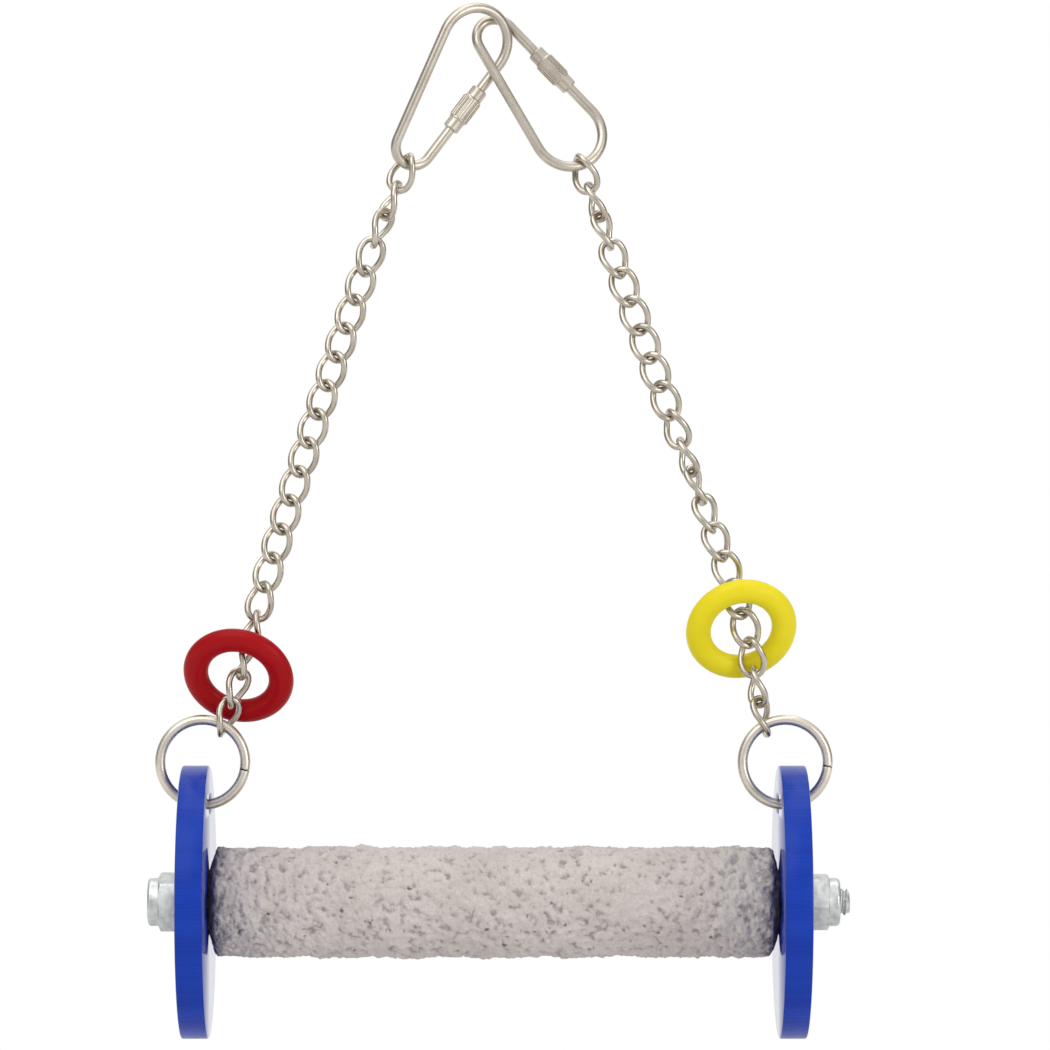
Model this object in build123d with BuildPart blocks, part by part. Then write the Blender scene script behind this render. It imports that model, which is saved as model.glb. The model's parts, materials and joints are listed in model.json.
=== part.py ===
"""Bird swing: a cement grooming perch between two blue end discs, hung on two twisted-link chains.

Frame: +Z up, +X to the right of the photograph, +Y away from its viewer. The origin is the hang eye,
the highest point inside the wide bend of the left quick link, where a cage hook carries the swing.
All sizes are millimetres and all angles are degrees.
"""
import math
import os

from build123d import *

# Quick links: two alike, pear shaped, bent from round wire and closed by a knurled sleeve nut
quick_wire = 2.38
quick_wide_radius = 8.3
quick_narrow_radius = 4.7
quick_centre_distance = 27.8
quick_gate_gap = 4.0
left_quick_lean_angle = 30.5
left_quick_roll_angle = 28.0
right_quick_roll_angle = 20.0
right_quick_tip_angle = 3.4
hook_slack = 1.55
hook_rise_angle = 15.0
hook_lift = 3.05
hang_settle_rounds = 40
sleeve_length = 11.7
sleeve_diameter = 3.9
sleeve_knurl_diameter = 4.7
sleeve_knurl_length = 6.0
sleeve_from_bend = 13.3
sleeve_clearance = 0.06

# Chains: alike, with every link twisted so that a straight chain lies flat
links_per_chain = 20
link_wire = 1.5
link_width = 7.2
link_pitch = 7.02
link_play = 0.2
hook_play = 0.3
link_end_angle = 41.0
link_strand_angle = 27.4
link_half_path_steps = 24

# How much further each link leans out than its chain as a whole, as pairs of link number and angle,
# even between the pairs
left_leans = [
    (1, 4.5),
    (3, 4),
    (4, 1),
    (12, -0.5),
    (15, -1.5),
    (16, -3),
    (18, -3),
    (19, 0),
    (20, 2),
]
right_leans = [
    (1, 1.5),
    (15, 2),
    (16, -1),
    (17, -3),
    (18, -9),
    (19, -9),
    (20, -4),
]

# How each link is turned about its own length, in the same form
left_turns = [
    (1, 145),
    (4, 24),
    (6, 0),
    (14, 0),
    (15, -6),
    (16, -24),
    (18, -98),
    (19, -126),
    (20, -126),
]
right_turns = [
    (1, 140),
    (4, 25),
    (6, 0),
    (8, 0),
    (9, -8),
    (13, -135),
    (15, -170),
    (17, -184),
    (18, -208),
    (20, -292),
]

# Butt-jointed steel rings that hook the chains into the end discs
ring_diameter = 22.2
ring_wire = 2.38
ring_butt_gap = 0.25
ring_inboard = 1.6
ring_chain_inboard = 4.4
left_ring_gap_angle = -10.0
right_ring_gap_angle = -5.0

# Loose plastic toy rings, threaded on the chains, each at a link and a little below and beside its middle
toy_diameter = 26.1
toy_section_width = 5.9
toy_section_thickness = 4.7
toy_gap = 0.5
toy_tilt_step_angle = 0.5
red_ring_link_number = 18
red_ring_drop = 4.0
red_ring_shift = -0.5
yellow_ring_link_number = 17
yellow_ring_drop = 0.0
yellow_ring_shift = -1.0

# Perch, end discs and the threaded rod that clamps them
perch_diameter = 25.4
perch_length = 132.6
perch_taper_length = 1.8
perch_taper_depth = 5.4
perch_shoulder_round = 1.2
disc_diameter = 63.5
disc_thickness = 6.35
disc_edge_break = 0.4
disc_ring_hole = 5.2
disc_ring_hole_offset = 22.9
ring_seat_gap = 0.25
rod_diameter = 6.35
rod_clearance = 0.05
rod_end_chamfer = 0.6
rod_left_recess = 0.4
rod_right_stub = 2.3

# Lock nuts with nylon inserts
nut_across_flats = 12.0
nut_hex_height = 5.4
nut_collar_diameter = 11.2
nut_collar_height = 2.5
nut_collar_round = 0.8
nut_lip = 0.5
nut_wall = 0.7
nut_corner_drop = 0.5
left_nut_turn_angle = -20.0
right_nut_turn_angle = 7.0
insert_diameter = 9.0
insert_height = 1.8
insert_clearance = 0.05

os.makedirs("parts", exist_ok=True)

across_y = Vector(0, 1, 0)


def heading(lean, tip=0.0):
    """Unit vector that points down, leaning towards +X by lean and then back towards +Y by tip."""
    flat = math.cos(math.radians(tip))
    x = math.sin(math.radians(lean)) * flat
    z = -math.cos(math.radians(lean)) * flat
    return Vector(x, math.sin(math.radians(tip)), z)


def turned_side(axis, roll):
    """Unit vector square to a leaning axis, on the right of it and turned back about it by roll."""
    right = across_y.cross(axis).normalized() * -1
    back = axis.cross(right).normalized()
    if back.Y < 0:
        back = back * -1
    return right * math.cos(math.radians(roll)) + back * math.sin(math.radians(roll))


def towards(axis, side, pull):
    """Unit vector in the plane of axis and side that lies nearest to the direction of a pull."""
    return (axis * axis.dot(pull) + side * side.dot(pull)).normalized()


def even_between(pairs, number):
    """Angle for a link number, read off pairs of number and angle along straight lines."""
    for (low, low_angle), (high, high_angle) in zip(pairs, pairs[1:]):
        if low <= number <= high:
            return low_angle + (high_angle - low_angle) * (number - low) / (high - low)
    return pairs[-1][1]


# Left quick link: its axis runs from the wide bend, down to the narrow one
left_axis = heading(-left_quick_lean_angle)
left_side = turned_side(left_axis, left_quick_roll_angle)
bearing = quick_wide_radius - quick_wire / 2
left_wide = towards(left_axis, left_side, Vector(0, 0, 1)) * -bearing
left_narrow = left_wide + left_axis * quick_centre_distance
hook_gap = hook_play - link_play / 2
chain_seat_wide = bearing - hook_gap
chain_seat_narrow = quick_narrow_radius - quick_wire / 2 - hook_gap

# Right quick link: its narrow bend hangs inside the left one's wide bend, and both chains end level.
# The chains' leans and the right link's lean depend on each other, so they are settled in rounds.
hook_reach = quick_wide_radius - quick_narrow_radius + hook_slack
right_narrow = left_wide + Vector(
    hook_reach * math.cos(math.radians(hook_rise_angle)),
    hook_lift,
    hook_reach * math.sin(math.radians(hook_rise_angle)),
)
link_numbers = range(1, links_per_chain + 1)
ring_span = perch_length + disc_thickness - 2 * ring_inboard
chain_foot_span = ring_span - 2 * ring_chain_inboard
right_quick_lean = left_quick_lean_angle
left_lean = left_quick_lean_angle / 2
right_lean = left_quick_lean_angle / 2
for settle in range(hang_settle_rounds):
    left_ways = [heading(-left_lean - even_between(left_leans, number)) for number in link_numbers]
    right_ways = [heading(right_lean + even_between(right_leans, number)) for number in link_numbers]
    left_run = sum(left_ways, Vector()) * link_pitch
    right_run = sum(right_ways, Vector()) * link_pitch
    left_top = left_narrow + towards(left_axis, left_side, left_ways[0]) * chain_seat_narrow
    right_axis = heading(right_quick_lean, -right_quick_tip_angle)
    right_side = turned_side(right_axis, right_quick_roll_angle)
    right_bend = towards(right_axis, right_side, right_ways[0]) * chain_seat_wide
    right_top_z = left_top.Z + left_run.Z - right_run.Z
    drop = right_narrow.Z + right_bend.Z - right_top_z
    fall = drop / quick_centre_distance / math.cos(math.radians(right_quick_tip_angle))
    right_quick_lean = math.degrees(math.acos(fall))
    right_wide = right_narrow + right_axis * quick_centre_distance
    right_top = right_wide + right_bend
    spread = (chain_foot_span - right_top.X + left_top.X) / 2
    left_lean -= math.degrees((spread + left_run.X) / left_run.Z)
    right_lean -= math.degrees((spread - right_run.X) / right_run.Z)

# Plane of the swing and the levels of the pieces below the chains
middle = Vector((left_top.X + right_top.X) / 2, left_top.Y, left_top.Z)
print("chain leans", left_lean, right_lean, "right quick link lean", right_quick_lean)
print("chain tops", left_top, right_top, "swing plane", middle)
chain_foot_z = middle.Z + left_run.Z
ring_radius = (ring_diameter - ring_wire) / 2
ring_inside = ring_radius - ring_wire / 2 - hook_gap
ring_z = chain_foot_z - math.sqrt(ring_inside**2 - ring_chain_inboard**2)
disc_reach = disc_thickness / 2 + ring_inboard
wire_in_hole_top = ring_z - math.sqrt((ring_radius - ring_wire / 2) ** 2 - disc_reach**2)
hole_z = wire_in_hole_top + ring_seat_gap - disc_ring_hole / 2
perch_z = hole_z - disc_ring_hole_offset
print("levels: chain foot", chain_foot_z, "ring", ring_z, "hole", hole_z, "perch", perch_z)


def save(piece, name):
    """Labels a finished piece and writes it."""
    piece.part.label = name
    export_step(piece.part, f"parts/{name}.step")


def place(template, name, location):
    """Writes one copy of a template at its place."""
    with BuildPart() as copy:
        with Locations(location):
            add(template.part)
    save(copy, name)


# Quick link wire, drawn in its own plane: the wide bend's centre at the origin, the gate strand on +X
tangent_tilt = math.degrees(math.asin((quick_wide_radius - quick_narrow_radius) / quick_centre_distance))
out = Vector(math.cos(math.radians(tangent_tilt)), -math.sin(math.radians(tangent_tilt)))
down_gate = Vector(-math.sin(math.radians(tangent_tilt)), -math.cos(math.radians(tangent_tilt)))
narrow_centre = Vector(0, -quick_centre_distance)
gate_top = out * quick_wide_radius
gate_middle = gate_top + down_gate * sleeve_from_bend
gate_bottom = narrow_centre + out * quick_narrow_radius
plain_top = Vector(-gate_top.X, gate_top.Y)
plain_bottom = Vector(-gate_bottom.X, gate_bottom.Y)

with BuildPart() as quick_link:
    with BuildLine() as bend:
        Line(gate_middle - down_gate * (quick_gate_gap / 2), gate_top)
        CenterArc((0, 0), quick_wide_radius, -tangent_tilt, 180 + 2 * tangent_tilt)
        Line(plain_top, plain_bottom)
        CenterArc(narrow_centre, quick_narrow_radius, 180 + tangent_tilt, 180 - 2 * tangent_tilt)
        Line(gate_bottom, gate_middle + down_gate * (quick_gate_gap / 2))
    with BuildSketch(Plane(origin=bend.line @ 0, z_dir=bend.line % 0)):
        Circle(quick_wire / 2)
    sweep()

with BuildPart() as sleeve_nut:
    Cylinder(sleeve_diameter / 2, sleeve_length)
    Cylinder(sleeve_knurl_diameter / 2, sleeve_knurl_length)
    Hole(quick_wire / 2 + sleeve_clearance)

for hand, wide, axis, side in (
    ("left", left_wide, left_axis, left_side),
    ("right", right_wide, right_axis * -1, right_side),
):
    frame = Plane(origin=wide, x_dir=side, z_dir=side.cross(axis * -1))
    place(quick_link, f"{hand}_quick_link", Location(frame))
    gate_way = side * down_gate.X - axis * down_gate.Y
    gate = Plane(origin=frame.from_local_coords(gate_middle), z_dir=gate_way)
    place(sleeve_nut, f"{hand}_sleeve_nut", Location(gate))
    print(hand, "sleeve slides along", gate_way, "from", gate.origin)


def biarc(start, start_tangent, end, end_tangent):
    """Adds two arcs that run smoothly from one point and direction to another."""
    chord = end - start
    tangents = start_tangent + end_tangent
    spread = 2 * (1 - start_tangent.dot(end_tangent))
    along = chord.dot(tangents)
    reach = (math.sqrt(along**2 + spread * chord.dot(chord)) - along) / spread
    meeting = (start + start_tangent * reach + end - end_tangent * reach) * 0.5
    first = TangentArc(start, meeting, tangent=start_tangent)
    TangentArc(meeting, end, tangent=first % 1)


# Chain link about its own middle: strands at +X and -X, ends at +Z and -Z, each end turned across Y
link_half_width = (link_width - link_wire) / 2
link_half_length = (link_pitch + link_play + link_wire) / 2
slant_y = -math.sin(math.radians(link_strand_angle))
slant_z = math.cos(math.radians(link_strand_angle))
end_tangent = Vector(-math.cos(math.radians(link_end_angle)), math.sin(math.radians(link_end_angle)), 0)
right_strand = Vector(link_half_width, 0, 0)
left_strand = Vector(-link_half_width, 0, 0)
link_top = Vector(0, 0, link_half_length)

with BuildPart() as half_link:
    with BuildLine() as strand:
        biarc(right_strand, Vector(0, slant_y, slant_z), link_top, end_tangent)
        biarc(link_top, end_tangent, left_strand, Vector(0, slant_y, -slant_z))
    with BuildSketch(Plane(origin=strand.line @ 0, z_dir=strand.line % 0)):
        Circle(link_wire / 2)
    sweep()

with BuildPart() as chain_link:
    add(half_link.part)
    add(half_link.part, rotation=(180, 0, 0))

# Points along the middle of the wire, which the toy rings have to clear
half_path = [strand.line @ (step / link_half_path_steps) for step in range(link_half_path_steps + 1)]
link_path = half_path + [Vector(point.X, -point.Y, -point.Z) for point in half_path]
wire_points = {"left": [], "right": []}

# Each chain hangs from its first junction, and a link's frame has its Z along the link, upwards
junctions = {"left": [left_top], "right": [Vector(right_top.X, middle.Y, right_top.Z)]}
link_frames = {"left": {}, "right": {}}
for hand, ways, turns in (("left", left_ways, left_turns), ("right", right_ways, right_turns)):
    for number, way in zip(link_numbers, ways):
        upper = junctions[hand][-1]
        junctions[hand].append(upper + way * link_pitch)
        link_middle = upper + way * (link_pitch / 2)
        link_frame = Plane(origin=link_middle, x_dir=across_y.cross(way * -1), z_dir=way * -1)
        link_frames[hand][number] = link_frame
        spot = Location(link_frame) * Location((0, 0, 0), (0, 0, even_between(turns, number)))
        place(chain_link, f"{hand}_link_{number:02d}", spot)
        wire_points[hand] += [Plane(spot).from_local_coords(point) for point in link_path]

# Steel rings, each open at a butt joint on the right of the ring
butt_angle = math.degrees(ring_butt_gap / ring_radius)
with BuildPart() as steel_ring:
    with BuildSketch(Plane.XZ):
        with Locations((ring_radius, 0)):
            Circle(ring_wire / 2)
    revolve(axis=Axis.Z, revolution_arc=360 - butt_angle)

for hand, sign, gap_angle in (("left", -1, left_ring_gap_angle), ("right", 1, right_ring_gap_angle)):
    centre = Vector(middle.X + sign * ring_span / 2, middle.Y, ring_z)
    gap_way = Vector(math.cos(math.radians(gap_angle)), 0, math.sin(math.radians(gap_angle)))
    ring_frame = Plane(origin=centre, x_dir=gap_way, z_dir=(0, -1, 0))
    place(steel_ring, f"{hand}_steel_ring", Location(ring_frame))

# Toy rings, tipped on their chains with the top in front of the chain and the bottom behind it
toy_radius = (toy_diameter - toy_section_width) / 2
with BuildPart() as toy_ring:
    with BuildSketch(Plane.XZ):
        with Locations((toy_radius, 0)):
            Ellipse(toy_section_width / 2, toy_section_thickness / 2)
    revolve(axis=Axis.Z)


def tipped(centre, link_frame, tilt):
    """Plane of a toy ring that is tipped by tilt from the line of its link."""
    right = link_frame.x_dir
    uphill = link_frame.z_dir * math.cos(math.radians(tilt)) - across_y * math.sin(math.radians(tilt))
    return Plane(origin=centre, x_dir=right, z_dir=right.cross(uphill))


def clears(toy_plane, points):
    """Whether a toy ring in a plane keeps its gap to wire whose middle runs through the points."""
    room = link_wire / 2 + toy_gap
    for point in points:
        away = point - toy_plane.origin
        height = away.dot(toy_plane.z_dir)
        reach = (away - toy_plane.z_dir * height).length - toy_radius
        across = reach / (toy_section_width / 2 + room)
        along = height / (toy_section_thickness / 2 + room)
        if across**2 + along**2 < 1:
            return False
    return True


toy_planes = {}
for name, hand, number, drop, shift in (
    ("red_ring", "left", red_ring_link_number, red_ring_drop, red_ring_shift),
    ("yellow_ring", "right", yellow_ring_link_number, yellow_ring_drop, yellow_ring_shift),
):
    link_frame = link_frames[hand][number]
    centre = link_frame.from_local_coords((shift, 0, -drop))
    near = [point for point in wire_points[hand] if (point - centre).length < toy_diameter]
    tilt = 0.0
    while tilt < 90 and not clears(tipped(centre, link_frame, tilt), near):
        tilt += toy_tilt_step_angle
    toy_planes[name] = tipped(centre, link_frame, tilt)
    place(toy_ring, name, Location(toy_planes[name]))
    print(name, "tipped by", tilt, "centre", centre, "axis", toy_planes[name].z_dir)

# Perch, end discs and rod share one axis along X
bore = rod_diameter / 2 + rod_clearance
perch_left = middle.X - perch_length / 2
perch_right = middle.X + perch_length / 2


def along_x(x, sign=1):
    """Plane square to the perch axis at x, facing +X or -X, with its Y upwards."""
    return Plane(origin=(x, middle.Y, perch_z), x_dir=(0, sign, 0), z_dir=(sign, 0, 0))


with BuildPart() as perch:
    with BuildSketch(along_x(perch_left)):
        Circle(perch_diameter / 2)
        Circle(bore, mode=Mode.SUBTRACT)
    extrude(amount=perch_length)
    for end in (0, -1):
        end_face = perch.faces().sort_by(Axis.X)[end]
        rim = end_face.edges().sort_by(SortBy.RADIUS)[-1]
        chamfer(rim, length=perch_taper_depth, length2=perch_taper_length, reference=end_face)
    shoulders = perch.edges().filter_by(GeomType.CIRCLE).group_by(SortBy.RADIUS)[-1]
    fillet(shoulders, radius=perch_shoulder_round)
save(perch, "perch")

for hand, x, sign in (("left", perch_left, -1), ("right", perch_right, 1)):
    with BuildPart() as end_disc:
        with BuildSketch(along_x(x, sign)):
            Circle(disc_diameter / 2)
            Circle(bore, mode=Mode.SUBTRACT)
            with Locations((0, disc_ring_hole_offset)):
                Circle(disc_ring_hole / 2, mode=Mode.SUBTRACT)
        extrude(amount=disc_thickness)
        rims = end_disc.edges().filter_by(GeomType.CIRCLE).group_by(SortBy.RADIUS)[-1]
        chamfer(rims, length=disc_edge_break)
    save(end_disc, f"{hand}_end_disc")

nut_height = nut_hex_height + nut_collar_height
rod_left = perch_left - disc_thickness - nut_height + rod_left_recess
rod_right = perch_right + disc_thickness + nut_height + rod_right_stub
with BuildPart() as threaded_rod:
    with BuildSketch(along_x(rod_left)):
        Circle(rod_diameter / 2)
    extrude(amount=rod_right - rod_left)
    ends = threaded_rod.edges().filter_by(GeomType.CIRCLE)
    chamfer(ends, length=rod_end_chamfer)
save(threaded_rod, "threaded_rod")

# Lock nut about +Z, its seat at z = 0, with the nylon insert held under the rolled lip of its collar
insert_seat = nut_height - nut_lip - insert_height - 2 * insert_clearance
corner_radius = nut_across_flats / math.sqrt(3)
with BuildPart() as lock_nut:
    with BuildSketch():
        RegularPolygon(nut_across_flats / 2, 6, major_radius=False)
    extrude(amount=nut_hex_height)
    with BuildSketch(Plane.XZ):
        with BuildLine():
            Polyline(
                (0, 0),
                (corner_radius - 2 * nut_corner_drop, 0),
                (corner_radius, nut_corner_drop),
                (corner_radius, nut_hex_height - nut_corner_drop),
                (corner_radius - 2 * nut_corner_drop, nut_hex_height),
                (0, nut_hex_height),
                close=True,
            )
        make_face()
    revolve(axis=Axis.Z, mode=Mode.INTERSECT)
    with BuildSketch(Plane.XY.offset(nut_hex_height)):
        Circle(nut_collar_diameter / 2)
    extrude(amount=nut_collar_height)
    crown = lock_nut.faces().sort_by(Axis.Z)[-1]
    fillet(crown.edges(), radius=nut_collar_round)
    Hole(bore)
    with BuildSketch(Plane.XY.offset(insert_seat)):
        Circle(insert_diameter / 2 + insert_clearance)
    extrude(amount=insert_height + 2 * insert_clearance, mode=Mode.SUBTRACT)
    with BuildSketch(Plane.XY.offset(nut_height - nut_lip)):
        Circle(insert_diameter / 2 - nut_wall)
    extrude(amount=nut_lip, mode=Mode.SUBTRACT)

with BuildPart() as nylon_insert:
    with BuildSketch(Plane.XY.offset(insert_seat + insert_clearance)):
        Circle(insert_diameter / 2)
        Circle(bore, mode=Mode.SUBTRACT)
    extrude(amount=insert_height)

for hand, x, sign, turn in (
    ("left", perch_left - disc_thickness, -1, left_nut_turn_angle),
    ("right", perch_right + disc_thickness, 1, right_nut_turn_angle),
):
    seat = Location(along_x(x, sign)) * Location((0, 0, 0), (0, 0, turn))
    place(lock_nut, f"{hand}_lock_nut", seat)
    place(nylon_insert, f"{hand}_nylon_insert", seat)
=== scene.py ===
"""Bird swing: a pitted cement perch between blue acrylic discs, hung on twisted-link nickel chains.

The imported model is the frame: +Z up, +X to the right of the photograph, +Y away from its viewer, metres.
Sizes of the object are written in millimetres and carry the factor MM.
"""
from __future__ import annotations

import json
import logging
import math
from collections.abc import Iterator, Mapping, Sequence
from contextlib import contextmanager
from dataclasses import dataclass
from enum import Enum
from functools import reduce
from typing import Any

import bmesh
import bpy
import numpy as np
from mathutils import Matrix, Vector


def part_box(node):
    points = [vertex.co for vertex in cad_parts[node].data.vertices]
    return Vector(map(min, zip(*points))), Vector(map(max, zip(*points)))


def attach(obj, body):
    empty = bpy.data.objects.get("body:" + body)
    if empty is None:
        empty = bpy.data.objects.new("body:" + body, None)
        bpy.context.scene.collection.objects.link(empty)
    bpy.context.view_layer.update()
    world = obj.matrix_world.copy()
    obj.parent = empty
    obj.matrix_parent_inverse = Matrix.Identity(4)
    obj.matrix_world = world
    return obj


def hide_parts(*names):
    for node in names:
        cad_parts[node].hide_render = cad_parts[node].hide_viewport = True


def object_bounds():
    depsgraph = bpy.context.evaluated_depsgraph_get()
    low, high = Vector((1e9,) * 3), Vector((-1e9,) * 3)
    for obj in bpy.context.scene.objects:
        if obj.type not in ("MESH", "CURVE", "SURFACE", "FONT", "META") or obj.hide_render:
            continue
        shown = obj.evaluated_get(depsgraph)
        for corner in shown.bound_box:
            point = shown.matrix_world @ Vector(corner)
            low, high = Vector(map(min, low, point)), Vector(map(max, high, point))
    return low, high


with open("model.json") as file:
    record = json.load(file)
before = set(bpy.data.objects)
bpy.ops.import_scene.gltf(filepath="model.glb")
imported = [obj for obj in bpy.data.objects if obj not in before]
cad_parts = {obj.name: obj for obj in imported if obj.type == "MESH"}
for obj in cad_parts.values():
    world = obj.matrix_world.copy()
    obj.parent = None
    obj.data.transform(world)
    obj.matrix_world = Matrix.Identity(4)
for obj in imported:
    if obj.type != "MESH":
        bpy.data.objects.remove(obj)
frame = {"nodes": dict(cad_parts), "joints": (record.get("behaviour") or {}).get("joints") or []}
CAD_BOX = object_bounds()

MM = 0.001
WELD = 1e-7
CAD_WELD = 1e-6
ROD_BORE = 6.45 * MM
PERCH_BODY = "perch_assembly"
LOG = logging.getLogger("bird_swing")

Colour = tuple[float, float, float]
Range = tuple[float, float]
Operand = "float | Value"


class Hand(Enum):
    """The two sides of the swing, as the photograph shows them."""

    LEFT = "left"
    RIGHT = "right"


class Plating(Enum):
    """What a steel piece is plated with, and how much its clouds roughen it."""

    NICKEL = 0.05
    ZINC = 0.10


def joint(name: str) -> Mapping[str, Any]:
    """Finds the record of a joint by its name."""
    return next(entry for entry in frame["joints"] if entry["name"] == name)


def joint_point(name: str) -> Vector:
    """Gives the point that a joint turns about, at rest."""
    return Vector(joint(name)["pos_m"])


def joint_axis(name: str) -> Vector:
    """Gives the direction of a joint's axis, at rest."""
    return Vector(joint(name)["axis"]).normalized()


def box_middle(node: str) -> Vector:
    """Gives the middle of a node's box."""
    low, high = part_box(node)
    return (low + high) / 2


class Value:
    """One output socket of a node, whose operators add Math nodes."""

    def __init__(self, sheet: NodeSheet, socket: bpy.types.NodeSocket) -> None:
        """Wraps a socket of a sheet."""
        self.sheet = sheet
        self.socket = socket

    def _math(self, operation: str, *operands: Operand) -> Value:
        """Adds one Math node, whose sockets take the operands in order."""
        return self.sheet.value("ShaderNodeMath", {"operation": operation}, dict(enumerate(operands)))

    def __add__(self, other: Operand) -> Value:
        """self + other."""
        return self._math("ADD", self, other)

    def __radd__(self, other: float) -> Value:
        """other + self."""
        return self._math("ADD", other, self)

    def __sub__(self, other: Operand) -> Value:
        """self - other."""
        return self._math("SUBTRACT", self, other)

    def __rsub__(self, other: float) -> Value:
        """other - self."""
        return self._math("SUBTRACT", other, self)

    def __mul__(self, other: Operand) -> Value:
        """self * other."""
        return self._math("MULTIPLY", self, other)

    def __rmul__(self, other: float) -> Value:
        """other * self."""
        return self._math("MULTIPLY", other, self)

    def __truediv__(self, other: Operand) -> Value:
        """self / other."""
        return self._math("DIVIDE", self, other)

    def __rtruediv__(self, other: float) -> Value:
        """other / self."""
        return self._math("DIVIDE", other, self)

    def __neg__(self) -> Value:
        """-self."""
        return self._math("MULTIPLY", self, -1.0)

    def __abs__(self) -> Value:
        """The size of self."""
        return self._math("ABSOLUTE", self)

    def at_least(self, other: Operand) -> Value:
        """The larger of self and other."""
        return self._math("MAXIMUM", self, other)

    def fraction(self) -> Value:
        """What self has beyond a whole number."""
        return self._math("FRACT", self)

    def ramp(self, start: Operand, end: Operand) -> Value:
        """Rises smoothly from 0 at start to 1 at end."""
        sockets = {"Value": self, "From Min": start, "From Max": end}
        return self.sheet.value("ShaderNodeMapRange", {"interpolation_type": "SMOOTHSTEP"}, sockets)


class NodeSheet:
    """A node tree, with one method that adds any node."""

    def __init__(self, tree: bpy.types.NodeTree) -> None:
        """Takes an empty tree."""
        self.tree = tree

    def add(
        self,
        kind: str,
        settings: Mapping[str, Any] | None = None,
        sockets: Mapping[str | int, Any] | None = None,
    ) -> bpy.types.Node:
        """Adds a node.

        Args:
            kind: the node's type.
            settings: its own settings, which are set first.
            sockets: the value or link of each named or numbered input.

        Returns:
            The new node.
        """
        node = self.tree.nodes.new(kind)
        for name, setting in (settings or {}).items():
            setattr(node, name, setting)
        for name, content in (sockets or {}).items():
            if isinstance(content, Value):
                self.tree.links.new(content.socket, node.inputs[name])
            else:
                node.inputs[name].default_value = content
        return node

    def value(
        self,
        kind: str,
        settings: Mapping[str, Any] | None = None,
        sockets: Mapping[str | int, Any] | None = None,
        output: str | int = 0,
    ) -> Value:
        """Adds a node and wraps the output of the given name or number."""
        return Value(self, self.add(kind, settings, sockets).outputs[output])

    def noise(
        self, place: Value, size: float, detail: float = 2.0, rough: float = 0.5, turn: float = 0.0
    ) -> Value:
        """Adds soft noise about 0.5, with features of a size in metres; turn picks another pattern."""
        sockets = {"Vector": place, "W": turn, "Scale": 1 / size, "Detail": detail, "Roughness": rough}
        return self.value("ShaderNodeTexNoise", {"noise_dimensions": "4D"}, sockets)

    def parts(self, vector: Value) -> tuple[Value, Value, Value]:
        """Splits a vector into its three numbers."""
        outputs = self.add("ShaderNodeSeparateXYZ", None, {0: vector}).outputs
        return Value(self, outputs[0]), Value(self, outputs[1]), Value(self, outputs[2])

    def light_path(self, *names: str) -> Value:
        """Gives 1 for a ray of any of the named kinds, and 0 for any other."""
        outputs = self.add("ShaderNodeLightPath").outputs
        return reduce(Value.at_least, [Value(self, outputs[name]) for name in names])

    def blend(self, share: Operand, first: Colour | Value, second: Colour | Value) -> Value:
        """Mixes two colours, with a share of the second from 0 to 1."""
        sockets = {"Factor": share, 6: paint(first), 7: paint(second)}
        return self.value("ShaderNodeMix", {"data_type": "RGBA"}, sockets, 2)


def paint(colour: Colour | Value) -> tuple[float, ...] | Value:
    """Gives a colour its alpha, and leaves a link as it is."""
    return colour if isinstance(colour, Value) else (*colour, 1.0)


class SurfaceSheet(NodeSheet):
    """The nodes of one material, around one Principled shader."""

    def __init__(self, name: str) -> None:
        """Starts a material.

        Args:
            name: the material's name.
        """
        self.material = bpy.data.materials.new(name)
        self.material.use_nodes = True
        super().__init__(self.material.node_tree)
        self.tree.nodes.clear()
        self.place = self.value("ShaderNodeTexCoord", output="Object")

    def attribute(self, name: str) -> Value:
        """Reads a number that the mesh carries."""
        return self.value("ShaderNodeAttribute", {"attribute_name": name}, output="Fac")

    def bump(self, height: Value, depth: float, strength: float = 1.0) -> Value:
        """Tips the surface's normal by a relief from 0 to 1, which is depth metres deep."""
        sockets = {"Strength": strength, "Distance": depth, "Height": height}
        return self.value("ShaderNodeBump", None, sockets, "Normal")

    def close(self, sockets: Mapping[str, Any]) -> bpy.types.Material:
        """Ends the material in a Principled shader.

        Args:
            sockets: the shader's inputs.

        Returns:
            The material.
        """
        shader = self.value("ShaderNodeBsdfPrincipled", None, sockets)
        self.add("ShaderNodeOutputMaterial", None, {"Surface": shader})
        return self.material


@dataclass(frozen=True)
class PlatedSteel:
    """Bright plating with faint clouds and the fine marks of drawing and tumbling."""

    name: str
    plating: Plating
    colour: Colour
    cloud_colour: Colour
    roughness: float
    cloud_size: float = 5.0 * MM
    cloud_range: Range = (0.35, 0.68)
    mark_size: float = 0.45 * MM
    mark_depth: float = 0.02 * MM
    mark_strength: float = 0.35
    mark_roughness: float = 0.06
    # Painted shadow in a butt joint, over the bare cut ends' own dull metal.
    seam_shadow_colour: Colour = (0.05, 0.045, 0.04)

    def material(self) -> bpy.types.Material:
        """Builds the finish.

        Returns:
            The material.
        """
        sheet = SurfaceSheet(self.name)
        clouds = sheet.noise(sheet.place, self.cloud_size, detail=4.0).ramp(*self.cloud_range)
        marks = sheet.noise(sheet.place, self.mark_size, detail=3.0, rough=0.6, turn=2.0)
        tone = sheet.blend(clouds, self.colour, self.cloud_colour)
        rough = self.roughness + self.plating.value * clouds + self.mark_roughness * (marks - 0.5)
        return sheet.close(
            {
                # Painted shadow: the marked ends at a butt joint take a near-black colour.
                "Base Color": sheet.blend(sheet.attribute("seam"), tone, self.seam_shadow_colour),
                "Metallic": 1.0,
                "Roughness": rough,
                "Normal": sheet.bump(marks, self.mark_depth, self.mark_strength),
            }
        )


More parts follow.
